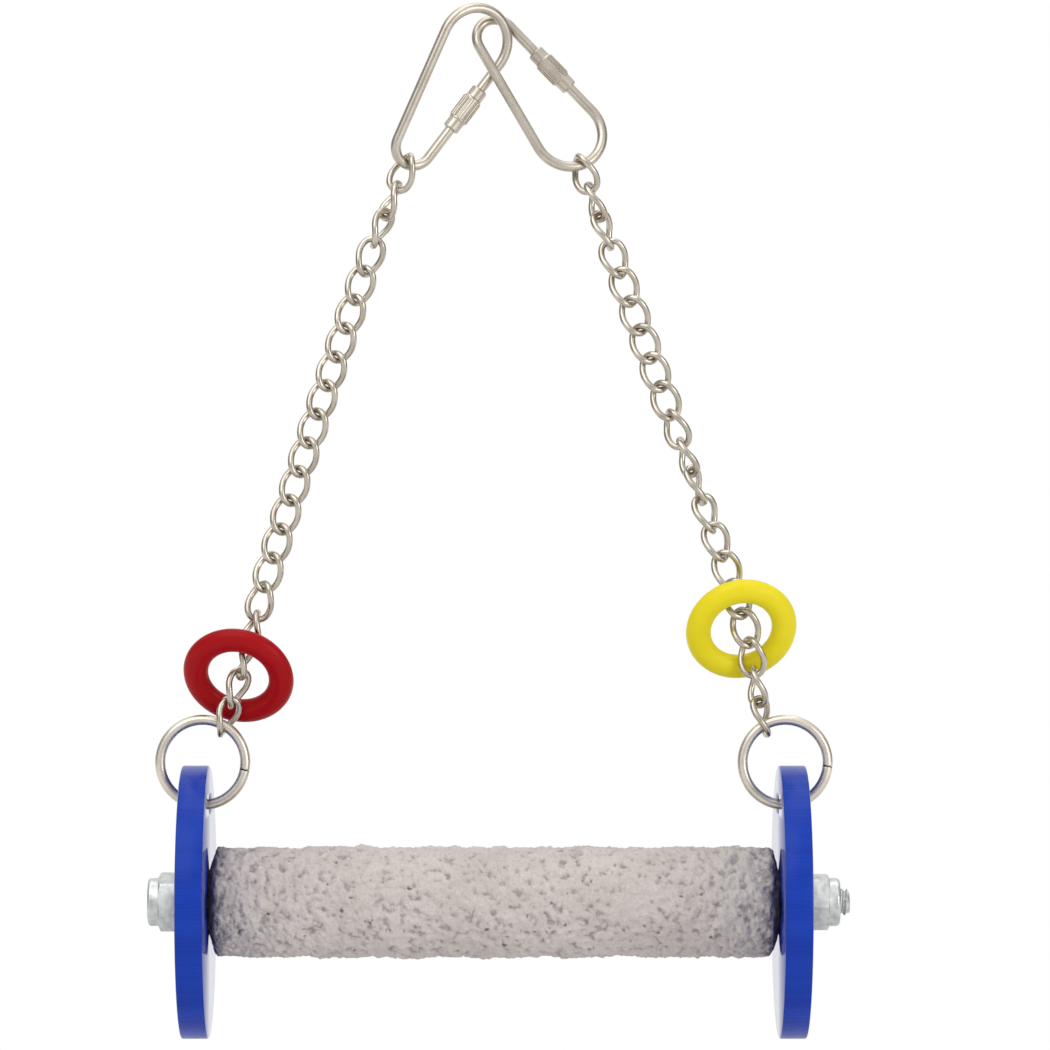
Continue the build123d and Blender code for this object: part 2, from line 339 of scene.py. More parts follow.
@dataclass(frozen=True)
class MouldedPlastic:
    """Satin moulded plastic with faint flow clouds and handling scuffs."""

    name: str
    colour: Colour
    pale_colour: Colour
    roughness: float = 0.34
    shine: float = 0.22
    cloud_size: float = 7.0 * MM
    cloud_range: Range = (0.38, 0.7)
    cloud_share: float = 0.35
    cloud_roughness: float = 0.05
    scuff_size: float = 1.1 * MM
    scuff_range: Range = (0.58, 0.72)
    scuff_share: float = 0.25
    scuff_roughness: float = 0.12
    scuff_depth: float = 0.03 * MM
    scuff_strength: float = 0.3
    glow: float = 0.12
    glow_reach: Colour = (1.2 * MM, 0.8 * MM, 0.6 * MM)

    def material(self) -> bpy.types.Material:
        """Builds the finish.

        Returns:
            The material.
        """
        sheet = SurfaceSheet(self.name)
        clouds = sheet.noise(sheet.place, self.cloud_size, detail=3.0).ramp(*self.cloud_range)
        scuffs = sheet.noise(sheet.place, self.scuff_size, detail=6.0, rough=0.7, turn=4.0)
        worn = scuffs.ramp(*self.scuff_range)
        pale = self.cloud_share * clouds + self.scuff_share * worn
        return sheet.close(
            {
                "Base Color": sheet.blend(pale, self.colour, self.pale_colour),
                "Roughness": self.roughness + self.scuff_roughness * worn + self.cloud_roughness * clouds,
                "Normal": sheet.bump(scuffs, self.scuff_depth, self.scuff_strength),
                "Specular IOR Level": self.shine,
                "Subsurface Weight": self.glow,
                "Subsurface Radius": self.glow_reach,
                "Subsurface Scale": 1.0,
            }
        )


@dataclass(frozen=True)
class CastAcrylic:
    """Blue acrylic sheet: polished faces, and a sawn rim with lines across its thickness."""

    name: str
    colour: Colour
    rim_colour: Colour
    line_width: float = 0.55 * MM
    line_stretch: float = 0.02
    line_tone: float = 0.5
    line_roughness: float = 0.2
    line_depth: float = 0.05 * MM
    line_strength: float = 0.4
    chatter_width: float = 4.95 * MM
    chatter_range: Range = (0.35, 0.65)
    chatter_tone: float = 0.45
    haze_size: float = 9.0 * MM
    haze_roughness: float = 0.02
    face_roughness: float = 0.045
    rim_tone: float = 0.30
    rim_roughness: float = 0.22
    shine: float = 0.13

    def material(self) -> bpy.types.Material:
        """Builds the finish.

        Returns:
            The material.
        """
        sheet = SurfaceSheet(self.name)
        rim = sheet.attribute("rim")
        round_rim = sheet.value("ShaderNodeUVMap", {"uv_map": "rim_lines"})
        around, across, _ = sheet.parts(round_rim)
        sockets = {"X": around, "Y": self.line_stretch * across}
        stretched = sheet.value("ShaderNodeCombineXYZ", None, sockets)
        lines = sheet.noise(stretched, self.line_width, detail=4.0, rough=0.65)
        chatter = sheet.noise(stretched, self.chatter_width, detail=2.0, turn=3.0)
        haze = sheet.noise(sheet.place, self.haze_size, detail=3.0, turn=6.0)
        banded = self.rim_tone + self.chatter_tone * chatter.ramp(*self.chatter_range)
        tone = rim * (banded + self.line_tone * (lines - 0.5))
        sawn = rim * (self.rim_roughness + self.line_roughness * (lines - 0.5))
        return sheet.close(
            {
                "Base Color": sheet.blend(tone, self.colour, self.rim_colour),
                "Roughness": self.face_roughness + self.haze_roughness * haze + sawn,
                "Normal": sheet.bump(rim * lines, self.line_depth, self.line_strength),
                "Specular IOR Level": self.shine,
            }
        )


@dataclass(frozen=True)
class RoughCement:
    """Cast cement: mottled, with painted shade in its pits and hollows, and painted shade with a painted
    blue reflection of the discs at its ends.
    """

    name: str
    colour: Colour
    pale_colour: Colour
    # The dark colour serves the darker grains and also paints shade into the hollows.
    dark_grain_and_shade_colour: Colour
    # Painted shade in the pits.
    pit_shade_colour: Colour
    # Painted shade with a painted blue reflection of the discs, at the perch's ends.
    disc_shade_and_reflection_colour: Colour
    speck_colour: Colour
    # Painted shade and blue reflection near the discs: its reach from the end faces, its strength and its
    # ragged edge.
    disc_shade_range: Range = (-0.5 * MM, 5.5 * MM)
    disc_shade_share: float = 0.9
    disc_shade_mottle: float = 17 * MM
    disc_shade_patches: float = 6 * MM
    patch_size: float = 14.0 * MM
    patch_range: Range = (0.35, 0.65)
    mottle_size: float = 1.9 * MM
    mottle_roughness: float = 0.16
    grain_size: float = 0.48 * MM
    grain_share: float = 0.5
    grain_relief: float = 0.65
    dark_grains: Range = (0.56, 0.70)
    pale_grains: Range = (0.30, 0.44)
    # Painted shade in the hollows: where the darkening sets in and how strong it is.
    shaded_hollow_range: Range = (0.2, 1.1)
    shaded_hollow_share: float = 0.62
    # Painted shade in the pits: where the darkening sets in and how strong it is.
    pit_shade_range: Range = (0.1, 0.9)
    pit_shade_share: float = 0.8
    relief_depth: float = 0.7 * MM
    relief_strength: float = 0.85
    roughness: float = 0.86
    shine: float = 0.3

    def material(self, perch: Perch) -> bpy.types.Material:
        """Builds the finish.

        Args:
            perch: the perch, whose ends get painted shade and a painted blue reflection of the discs.

        Returns:
            The material.
        """
        sheet = SurfaceSheet(self.name)
        along, _, _ = sheet.parts(sheet.place)
        patches = sheet.noise(sheet.place, self.patch_size, detail=3.0)
        mottle = sheet.noise(sheet.place, self.mottle_size, detail=4.0, rough=0.6, turn=1.0)
        grains = sheet.noise(sheet.place, self.grain_size, detail=3.0, rough=0.65, turn=5.0)
        from_end = perch.length / 2 - abs(along - perch.middle.x)
        # Painted shade and blue reflection: strongest at the end faces, with a ragged edge.
        ragged = from_end + self.disc_shade_mottle * (0.5 - mottle) + self.disc_shade_patches * (0.5 - patches)
        layers = (
            (patches.ramp(*self.patch_range), self.pale_colour),
            # Painted shade and blue reflection at the ends, where the discs meet the perch.
            (self.disc_shade_share * (1 - ragged.ramp(*self.disc_shade_range)), self.disc_shade_and_reflection_colour),
            # Painted shade: the hollows get the dark colour.
            (self.shaded_hollow_share * sheet.attribute("shaded_hollow").ramp(*self.shaded_hollow_range), self.dark_grain_and_shade_colour),
            # Painted shade: the pits get the pit colour.
            (self.pit_shade_share * sheet.attribute("pit").ramp(*self.pit_shade_range), self.pit_shade_colour),
            (self.grain_share * grains.ramp(*self.dark_grains), self.dark_grain_and_shade_colour),
            (self.grain_share * (1 - grains.ramp(*self.pale_grains)), self.speck_colour),
        )
        tone = self.colour
        for share, colour in layers:
            tone = sheet.blend(share, tone, colour)
        relief = self.grain_relief * grains + (1 - self.grain_relief) * mottle
        return sheet.close(
            {
                "Base Color": tone,
                "Roughness": self.roughness + self.mottle_roughness * (mottle - 0.5),
                "Normal": sheet.bump(relief, self.relief_depth, self.relief_strength),
                "Specular IOR Level": self.shine,
            }
        )


@dataclass(frozen=True)
class PaleFloor:
    """A plain pale floor that fades into the white room."""

    name: str
    colour: Colour
    fade_start: float
    fade_end: float
    middle: Vector

    def material(self) -> bpy.types.Material:
        """Builds the finish.

        Returns:
            The material.
        """
        sheet = SurfaceSheet(self.name)
        x, y, _ = sheet.parts(sheet.place)
        from_x = x - self.middle.x
        from_y = y - self.middle.y
        away = (from_x * from_x + from_y * from_y).ramp(self.fade_start**2, self.fade_end**2)
        seen = sheet.light_path("Is Camera Ray", "Is Glossy Ray", "Is Transmission Ray")
        matt = sheet.value("ShaderNodeBsdfDiffuse", None, {"Color": paint(self.colour)})
        white = sheet.value("ShaderNodeEmission", None, {"Strength": 1.0})
        mixed = sheet.value("ShaderNodeMixShader", None, {0: seen * away, 1: matt, 2: white})
        sheet.add("ShaderNodeOutputMaterial", None, {"Surface": mixed})
        return sheet.material


def enter(name: str, data: bpy.types.ID) -> bpy.types.Object:
    """Puts a new object into the scene.

    Args:
        name: its name.
        data: its mesh, curve, lamp or camera.

    Returns:
        The object.
    """
    item = bpy.data.objects.new(name, data)
    bpy.context.scene.collection.objects.link(item)
    return item


def plain_mesh(carrier: bpy.types.Object) -> bpy.types.Mesh:
    """Turns an object and its modifiers into a plain mesh, and removes the object.

    Args:
        carrier: the object.

    Returns:
        The mesh.
    """
    depsgraph = bpy.context.evaluated_depsgraph_get()
    carried = carrier.evaluated_get(depsgraph)
    keep_all = carrier.type == "MESH"
    mesh = bpy.data.meshes.new_from_object(carried, preserve_all_data_layers=keep_all, depsgraph=depsgraph)
    bpy.data.objects.remove(carrier)
    return mesh


class GeometryTree(NodeSheet):
    """A Geometry Nodes tree with named inputs, which ends in Realize Instances and Set Material."""

    def __init__(self, name: str, inputs: Mapping[str, float | int]) -> None:
        """Starts a tree.

        Args:
            name: the tree's name.
            inputs: its named sizes, with their defaults.
        """
        super().__init__(bpy.data.node_groups.new(name, "GeometryNodeTree"))
        face = self.tree.interface
        face.new_socket("Geometry", in_out="INPUT", socket_type="NodeSocketGeometry")
        for label, default in inputs.items():
            kind = "NodeSocketInt" if isinstance(default, int) else "NodeSocketFloat"
            face.new_socket(label, in_out="INPUT", socket_type=kind).default_value = default
        face.new_socket("Finish", in_out="INPUT", socket_type="NodeSocketMaterial")
        face.new_socket("Geometry", in_out="OUTPUT", socket_type="NodeSocketGeometry")
        self.entry = self.tree.nodes.new("NodeGroupInput")

    def given(self, label: str) -> Value:
        """Gives one of the tree's inputs."""
        return Value(self, self.entry.outputs[label])

    def stored(self, name: str) -> Value:
        """Reads a number that the mesh carries."""
        return self.value("GeometryNodeInputNamedAttribute", {"data_type": "FLOAT"}, {"Name": name})

    def store(self, geometry: Value, name: str, number: Value) -> Value:
        """Lets the mesh carry a named number at each point."""
        sockets = {"Geometry": geometry, "Name": name, "Value": number}
        return self.value("GeometryNodeStoreNamedAttribute", {"data_type": "FLOAT"}, sockets)

    def moved(self, geometry: Value, way: Value, distance: Value) -> Value:
        """Moves each point of a mesh by its own distance along a way of length 1."""
        push = self.value("ShaderNodeVectorMath", {"operation": "SCALE"}, {0: way, "Scale": distance})
        return self.value("GeometryNodeSetPosition", None, {"Geometry": geometry, "Offset": push})

    def end(self, geometry: Value) -> None:
        """Closes the tree.

        Args:
            geometry: what it has made.
        """
        real = self.value("GeometryNodeRealizeInstances", None, {0: geometry})
        sockets = {"Geometry": real, "Material": self.given("Finish")}
        dressed = self.value("GeometryNodeSetMaterial", None, sockets)
        self.add("NodeGroupOutput", None, {0: dressed})

    def make(
        self, name: str, start: bpy.types.Mesh, finish: bpy.types.Material, sizes: Mapping[str, float | int]
    ) -> bpy.types.Mesh:
        """Runs the tree on a mesh.

        Args:
            name: the new mesh's name.
            start: what the tree starts from.
            finish: the material that it gets.
            sizes: the inputs that differ from their defaults.

        Returns:
            The result, as a plain mesh.
        """
        carrier = enter(name, start)
        modifier = carrier.modifiers.new("tree", "NODES")
        modifier.node_group = self.tree
        contents = {**sizes, "Finish": finish}
        for item in self.tree.interface.items_tree:
            if item.item_type == "SOCKET" and item.in_out == "INPUT" and item.name in contents:
                modifier[item.identifier] = contents[item.name]
        mesh = plain_mesh(carrier)
        mesh.name = name
        return mesh


def round_wire_tree() -> GeometryTree:
    """Builds the tree that bends round wire along a line of edges.

    Returns:
        The tree.
    """
    tree = GeometryTree("round_wire", {"Wire Radius": 1.0 * MM, "Sides": 24})
    line = tree.value("GeometryNodeMeshToCurve", None, {"Mesh": tree.given("Geometry")})
    ring = tree.value(
        "GeometryNodeCurvePrimitiveCircle",
        {"mode": "RADIUS"},
        {"Resolution": tree.given("Sides"), "Radius": tree.given("Wire Radius")},
    )
    sockets = {"Curve": line, "Profile Curve": ring, "Fill Caps": True}
    wire = tree.value("GeometryNodeCurveToMesh", None, sockets)
    tree.end(tree.value("GeometryNodeSetShadeSmooth", None, {0: wire}))
    return tree


def knurl_tree() -> GeometryTree:
    """Builds the tree that sets straight ridges round a turned sleeve, which lies along Z.

    Returns:
        The tree.
    """
    sizes = {"Ridges": 24, "Seat Radius": 2.2 * MM, "Ridge Length": 5.6 * MM, "Ridge Width": 0.36 * MM}
    tree = GeometryTree("straight_knurl", sizes)
    seats = tree.value(
        "GeometryNodeMeshCircle",
        {"fill_type": "NONE"},
        {"Vertices": tree.given("Ridges"), "Radius": tree.given("Seat Radius")},
    )
    corner_share = 0.62
    reach, length = corner_share * tree.given("Ridge Width"), tree.given("Ridge Length")
    sockets = {"Vertices": 6, "Radius Top": reach, "Radius Bottom": reach, "Depth": length}
    ridge = tree.value("GeometryNodeMeshCone", {"fill_type": "NGON"}, sockets)
    place = tree.value("GeometryNodeInputPosition")
    outward = tree.value("FunctionNodeAlignRotationToVector", {"axis": "X"}, {"Vector": place})
    sockets = {"Points": seats, "Instance": ridge, "Rotation": outward}
    ridges = tree.value("GeometryNodeInstanceOnPoints", None, sockets)
    lower = tree.value("ShaderNodeCombineXYZ", None, {"Z": -0.5 * length})
    ridges = tree.value("GeometryNodeTranslateInstances", None, {"Instances": ridges, "Translation": lower})
    join = tree.add("GeometryNodeJoinGeometry")
    tree.tree.links.new(ridges.socket, join.inputs[0])
    tree.tree.links.new(tree.given("Geometry").socket, join.inputs[0])
    tree.end(Value(tree, join.outputs[0]))
    return tree


def cement_tree() -> GeometryTree:
    """Builds the tree that roughens a smooth casting and opens pits in it.

    The start mesh carries "skin": 1 where the surface is open, 0 where it meets a disc or the rod.

    Returns:
        The tree.
    """
    sizes = {
        "Swell Height": 1.0 * MM,
        "Lump Height": 2.3 * MM,
        "Grain Height": 1.2 * MM,
        "Hollow Depth": 0.60 * MM,
        "Pit Depth": 0.55 * MM,
    }
    tree = GeometryTree("rough_cement", sizes)
    place = tree.value("GeometryNodeInputPosition")
    skin = tree.stored("skin")
    swell = tree.noise(place, size=9 * MM, detail=1.0, turn=1.0) - 0.5
    lumps = tree.noise(place, size=3.0 * MM, turn=2.0) - 0.5
    grain = tree.noise(place, size=1.1 * MM, detail=1.0, turn=4.0) - 0.5
    shaded_hollow = tree.noise(place, size=1.8 * MM, rough=0.6, turn=6.0).ramp(start=0.50, end=0.68)
    pit = tree.noise(place, size=1.7 * MM, detail=1.0, rough=0.6, turn=9.0).ramp(start=0.66, end=0.76)
    lump_shade, grain_shade = 0.9, 0.6
    height = swell * tree.given("Swell Height") + lumps * tree.given("Lump Height")
    height = height + grain * tree.given("Grain Height")
    height = height - shaded_hollow * tree.given("Hollow Depth") - pit * tree.given("Pit Depth")
    # Painted shade: the pits' mask darkens the colour in the material.
    marked = tree.store(tree.given("Geometry"), "pit", pit * skin)
    # Painted shade: hollows and the low sides of lumps and grains are stored as a darkening mask for the
    # colour.
    marked = tree.store(marked, "shaded_hollow", skin * (shaded_hollow - lump_shade * lumps - grain_shade * grain))
    rough = tree.moved(marked, tree.value("GeometryNodeInputNormal"), height * skin)
    tree.end(tree.value("GeometryNodeSetShadeSmooth", None, {0: rough}))
    return tree


def thread_tree() -> GeometryTree:
    """Builds the tree that cuts a screw thread into a rod along X.

    The start mesh carries "cut", which is 1 where the thread is and 0 elsewhere.

    Returns:
        The tree.
    """
    sizes = {"Pitch": 1.27 * MM, "Depth": 0.62 * MM, "Axis Y": 0.0, "Axis Z": 0.0}
    tree = GeometryTree("screw_thread", sizes)
    place = tree.value("GeometryNodeInputPosition")
    x, y, z = tree.parts(place)
    from_y = y - tree.given("Axis Y")
    from_z = z - tree.given("Axis Z")
    turn = tree.value("ShaderNodeMath", {"operation": "ARCTAN2"}, {0: from_z, 1: from_y})
    phase = (x / tree.given("Pitch") + turn / (2 * math.pi)).fraction()
    groove = 1 - abs(2 * phase - 1)
    depth = tree.given("Depth") * groove.ramp(start=0.1, end=0.9) * tree.stored("cut")
    spoke = tree.value("ShaderNodeCombineXYZ", None, {"Y": from_y, "Z": from_z})
    outward = tree.value("ShaderNodeVectorMath", {"operation": "NORMALIZE"}, {0: spoke})
    tree.end(tree.moved(tree.given("Geometry"), outward, -depth))
    return tree


def line_mesh(name: str, points: Sequence[Vector], closed: bool) -> bpy.types.Mesh:
    """Makes a mesh of edges alone.

    Args:
        name: the mesh's name.
        points: the line's points, in order.
        closed: whether the last point joins the first.

    Returns:
        The mesh.
    """
    edges = [(i, i + 1) for i in range(len(points) - 1)]
    if closed:
        edges.append((len(points) - 1, 0))
    mesh = bpy.data.meshes.new(name)
    mesh.from_pydata([tuple(point) for point in points], edges, [])
    return mesh


def arc(
    centre: Vector, x: Vector, y: Vector, radius: float, start: float, sweep: float, steps: int
) -> list[Vector]:
    """Gives the points of an arc with both ends; x and y are its 0 and 90 degrees."""
    angles = [math.radians(start + sweep * i / steps) for i in range(steps + 1)]
    return [centre + radius * (math.cos(a) * x + math.sin(a) * y) for a in angles]


def tangent_arc(start: Vector, tangent: Vector, end: Vector, steps: int) -> list[Vector]:
    """Gives points on the arc that leaves a point along a tangent and reaches another point.

    Args:
        start: the first point.
        tangent: the direction there.
        end: the last point.
        steps: how many pieces it has.

    Returns:
        The points, without the last.
    """
    chord = end - start
    inward = (chord - tangent * chord.dot(tangent)).normalized()
    half_turn = math.degrees(tangent.angle(chord))
    radius = chord.length / (2 * math.sin(math.radians(half_turn)))
    return arc(start + inward * radius, -inward, tangent, radius, 0.0, 2 * half_turn, steps)[:-1]


def lathe(name: str, profile: Sequence[tuple[float, float]], sides: int) -> bpy.types.Mesh:
    """Turns a closed outline of (along, radius) points about the X axis.

    Args:
        name: the mesh's name.
        profile: the outline.
        sides: how many flats go round.

    Returns:
        A closed mesh with outward faces.
    """
    count = len(profile)
    points = []
    for side in range(sides):
        angle = 2 * math.pi * side / sides
        points += [(x, r * math.cos(angle), r * math.sin(angle)) for x, r in profile]
    faces = []
    for side in range(sides):
        here, there = side * count, (side + 1) % sides * count
        pairs = [(i, (i + 1) % count) for i in range(count)]
        faces += [(here + i, here + j, there + j, there + i) for i, j in pairs]
    mesh = bpy.data.meshes.new(name)
    mesh.from_pydata(points, [], faces)
    turn_outward(mesh)
    return mesh


@contextmanager
def editing(mesh: bpy.types.Mesh) -> Iterator[bmesh.types.BMesh]:
    """Opens a mesh for editing, and writes it back afterwards.

    Args:
        mesh: the mesh.

    Yields:
        The open mesh.
    """
    work = bmesh.new()
    work.from_mesh(mesh)
    yield work
    work.to_mesh(mesh)
    work.free()


def turn_outward(mesh: bpy.types.Mesh) -> None:
    """Makes every face of a closed mesh point outwards.

    Args:
        mesh: the mesh.
    """
    with editing(mesh) as work:
        bmesh.ops.remove_doubles(work, verts=work.verts, dist=WELD)
        bmesh.ops.recalc_face_normals(work, faces=work.faces)


def points_of(mesh: bpy.types.Mesh) -> np.ndarray:
    """Gives the points of a mesh, one in each row."""
    return np.array([vertex.co for vertex in mesh.vertices])


def mark(mesh: bpy.types.Mesh, name: str, numbers: np.ndarray) -> None:
    """Lets a mesh carry a named number at each point."""
    mesh.attributes.new(name, "FLOAT", "POINT").data.foreach_set("value", numbers.astype(np.float32))


def ease_sharp_edges(mesh: bpy.types.Mesh, width: float, sharp_degrees: float = 60.0) -> None:
    """Rounds off the sharp edges of a mesh.

    Args:
        mesh: the mesh.
        width: how wide the rounding is.
        sharp_degrees: edges that turn by more than this are sharp.
    """
    limit = math.radians(sharp_degrees)
    with editing(mesh) as work:
        sharp = [edge for edge in work.edges if edge.calc_face_angle(0.0) > limit]
        bmesh.ops.bevel(work, geom=sharp, offset=width, segments=3, profile=0.5, affect="EDGES")


def shade(mesh: bpy.types.Mesh, sharp_degrees: float = 35.0) -> None:
    """Shades a mesh smooth, except across edges that turn by more than the given degrees."""
    mesh.polygons.foreach_set("use_smooth", [True] * len(mesh.polygons))
    mesh.set_sharp_from_angle(angle=math.radians(sharp_degrees))


def present(
    mesh: bpy.types.Mesh,
    name: str,
    body: str,
    node: str,
    finish: bpy.types.Material | None = None,
) -> bpy.types.Object:
    """Puts a finished mesh on show in place of a node of the frame.

    Args:
        mesh: the mesh, in place.
        name: the piece's name.
        body: the body that it moves with.
        node: the node that it stands for.
        finish: its material, where the mesh has none yet.

    Returns:
        The piece.
    """
    if finish is not None:
        mesh.materials.clear()
        mesh.materials.append(finish)
    piece = enter(name, mesh)
    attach(piece, body)
    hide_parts(node)
    LOG.info("%s stands for %s: %d faces", name, node, len(mesh.polygons))
    return piece


def cleaned_copy(node: str, edge: float) -> bpy.types.Mesh:
    """Copies a node's mesh with its triangles joined and its sharp edges eased.

    Args:
        node: the node.
        edge: how wide the eased edges are.

    Returns:
        The mesh.
    """
    mesh = frame["nodes"][node].data.copy()
    with editing(mesh) as work:
        bmesh.ops.remove_doubles(work, verts=work.verts, dist=CAD_WELD)
        bmesh.ops.dissolve_limit(work, angle_limit=math.radians(1.0), verts=work.verts, edges=work.edges)
    carrier = enter(node + "_copy", mesh)
    bevel = carrier.modifiers.new("eased", "BEVEL")
    bevel.width = edge
    bevel.segments = 2
    bevel.limit_method = "ANGLE"
    bevel.angle_limit = math.radians(38.0)
    eased = plain_mesh(carrier)
    shade(eased)
    return eased


@dataclass
class QuickLink:
    """A pear-shaped wire link with a knurled sleeve nut on its gate."""

    hand: Hand
    seat: Vector
    wire: float = 2.38 * MM
    wide_radius: float = 8.3 * MM
    narrow_radius: float = 4.7 * MM
    centre_distance: float = 27.8 * MM
    gate_gap: float = 4.0 * MM
    sleeve_length: float = 11.7 * MM
    sleeve_diameter: float = 3.9 * MM
    knurl_diameter: float = 4.7 * MM
    knurl_length: float = 6.0 * MM
    sleeve_from_bend: float = 13.3 * MM
    bore_clearance: float = 0.06 * MM
    sleeve_ease: float = 0.28 * MM
    knurl_depth: float = 0.16 * MM
    ridge_sink: float = 0.2 * MM
    ridge_setback: float = 0.25 * MM
    sides: int = 32
    sleeve_sides: int = 48
    wide_steps: int = 40
    narrow_steps: int = 28

    def path(self) -> list[Vector]:
        """Follows the wire from one side of the gate round to the other.

        Returns:
            The points of the wire's middle.
        """
        gate = box_middle(f"{self.hand.value}_sleeve_nut")
        down = joint_axis(f"{self.hand.value}_sleeve_slide")
        inward = self.seat - gate
        out = -(inward - down * inward.dot(down)).normalized()
        tilt = math.degrees(math.asin((self.wide_radius - self.narrow_radius) / self.centre_distance))
        sine, cosine = math.sin(math.radians(tilt)), math.cos(math.radians(tilt))
        side = out * cosine - down * sine
        axis = out * sine + down * cosine
        wide = gate - down * self.sleeve_from_bend - out * self.wide_radius
        narrow = wide + axis * self.centre_distance
        half_gap = down * (self.gate_gap / 2)
        points = [gate - half_gap]
        points += arc(wide, side, -axis, self.wide_radius, -tilt, 180 + 2 * tilt, self.wide_steps)
        sweep = 180 - 2 * tilt
        points += arc(narrow, side, -axis, self.narrow_radius, 180 + tilt, sweep, self.narrow_steps)
        return [*points, gate + half_gap]

    def sleeve(self) -> bpy.types.Mesh:
        """Turns the sleeve about Z, without its ridges.

        Returns:
            The mesh, centred on the origin.
        """
        half, knurl = self.sleeve_length / 2, self.knurl_length / 2
        thin, thick = self.sleeve_diameter / 2, self.knurl_diameter / 2 - self.knurl_depth
        bore, ease = self.wire / 2 + self.bore_clearance, self.sleeve_ease
        outline = [(-half, bore), (-half, thin - ease), (-half + ease, thin), (-knurl - ease, thin)]
        outline += [(-knurl, thick), (knurl, thick), (knurl + ease, thin)]
        outline += [(half - ease, thin), (half, thin - ease), (half, bore)]
        mesh = lathe("sleeve", outline, self.sleeve_sides)
        mesh.transform(Matrix.Rotation(math.radians(-90), 4, "Y"))
        shade(mesh, sharp_degrees=25.0)
        return mesh

    def build(
        self, wire: GeometryTree, knurl: GeometryTree, finish: PlatedSteel, sleeve_finish: PlatedSteel
    ) -> None:
        """Makes the link and its sleeve.

        Args:
            wire: the tree that bends wire.
            knurl: the tree that sets the ridges.
            finish: the wire's finish.
            sleeve_finish: the sleeve's finish.
        """
        hand = self.hand.value
        name = f"{hand}_quick_link"
        line = line_mesh(name + "_line", self.path(), closed=False)
        sizes = {"Wire Radius": self.wire / 2, "Sides": self.sides}
        mesh = wire.make(name, line, finish.material(), sizes)
        shade(mesh)
        present(mesh, f"{name}_wire", name, name)
        node = f"{hand}_sleeve_nut"
        sizes = {
            "Seat Radius": self.knurl_diameter / 2 - self.ridge_sink,
            "Ridge Length": self.knurl_length - 2 * self.ridge_setback,
        }
        mesh = knurl.make(node, self.sleeve(), sleeve_finish.material(), sizes)
        way = joint_axis(f"{hand}_sleeve_slide").to_track_quat("Z", "Y").to_matrix().to_4x4()
        mesh.transform(Matrix.Translation(box_middle(node)) @ way)
        present(mesh, f"{node}_knurled", node, node)


@dataclass
class TwistedChain:
    """A chain of twisted wire links that lies flat when it is straight."""

    hand: Hand
    turns: tuple[tuple[int, float], ...]
    count: int = 20
    wire: float = 1.5 * MM
    width: float = 7.2 * MM
    play: float = 0.2 * MM
    end_turn: float = 41.0
    strand_slant: float = 27.4
    arc_steps: int = 9
    sides: int = 20

    def turn(self, number: int) -> float:
        """Reads a link's turn in degrees off the pairs of link number and angle."""
        numbers, angles = zip(*self.turns)
        return float(np.interp(number, numbers, angles))

    def biarc(self, start: Vector, first: Vector, end: Vector, last: Vector) -> list[Vector]:
        """Follows two arcs that run smoothly from one point and direction to another.

        Args:
            start: the first point.
            first: the direction there.
            end: the last point.
            last: the direction there.

        Returns:
            The points, without the last.
        """
        chord = end - start
        spread = 2 * (1 - first.dot(last))
        along = chord.dot(first + last)
        reach = (math.sqrt(along**2 + spread * chord.dot(chord)) - along) / spread
        meeting = (start + first * reach + end - last * reach) / 2
        points = tangent_arc(start, first, meeting, self.arc_steps)
        through = (meeting - start).normalized()
        middle_way = (through * (2 * through.dot(first)) - first).normalized()
        return points + tangent_arc(meeting, middle_way, end, self.arc_steps)

    def link_path(self, pitch: float) -> list[Vector]:
        """Follows one link's wire about the link's own middle.

        Args:
            pitch: the chain's pitch.

        Returns:
            The points of a closed loop.
        """
        half_width = (self.width - self.wire) / 2
        half_length = (pitch + self.play + self.wire) / 2
        slant, turn = math.radians(self.strand_slant), math.radians(self.end_turn)
        right, left = Vector((half_width, 0, 0)), Vector((-half_width, 0, 0))
        top = Vector((0, 0, half_length))
        across = Vector((-math.cos(turn), math.sin(turn), 0))
        up = Vector((0, -math.sin(slant), math.cos(slant)))
        down = Vector((0, -math.sin(slant), -math.cos(slant)))
        over = self.biarc(right, up, top, across) + self.biarc(top, across, left, down)
        under = [Vector((point.x, -point.y, -point.z)) for point in over[1:] + [left]]
        return over + under[::-1]

    def build(self, wire: GeometryTree, finish: PlatedSteel) -> None:
        """Makes every link and hangs it between its two junctions.

        Args:
            wire: the tree that bends wire.
            finish: the links' finish.
        """
        hand = self.hand.value
        names = [f"{hand}_link_{number:02d}" for number in range(1, self.count + 1)]
        junctions = [joint_point(f"{name}_swing") for name in [*names, f"{hand}_steel_ring"]]
        pitch = (junctions[0] - junctions[1]).length
        line = line_mesh(f"{hand}_link_line", self.link_path(pitch), closed=True)
        sizes = {"Wire Radius": self.wire / 2, "Sides": self.sides}
        pattern = wire.make(f"{hand}_link", line, finish.material(), sizes)
        for number, name in enumerate(names, start=1):
            upper, lower = junctions[number - 1], junctions[number]
            z_way = (upper - lower).normalized()
            x_way = Vector((0, 1, 0)).cross(z_way).normalized()
            way = Matrix((x_way, z_way.cross(x_way), z_way)).transposed().to_4x4()
            twist = Matrix.Rotation(math.radians(self.turn(number)), 4, "Z")
            mesh = pattern.copy()
            mesh.transform(Matrix.Translation((upper + lower) / 2) @ way @ twist)
            present(mesh, f"{name}_wire", name, name)


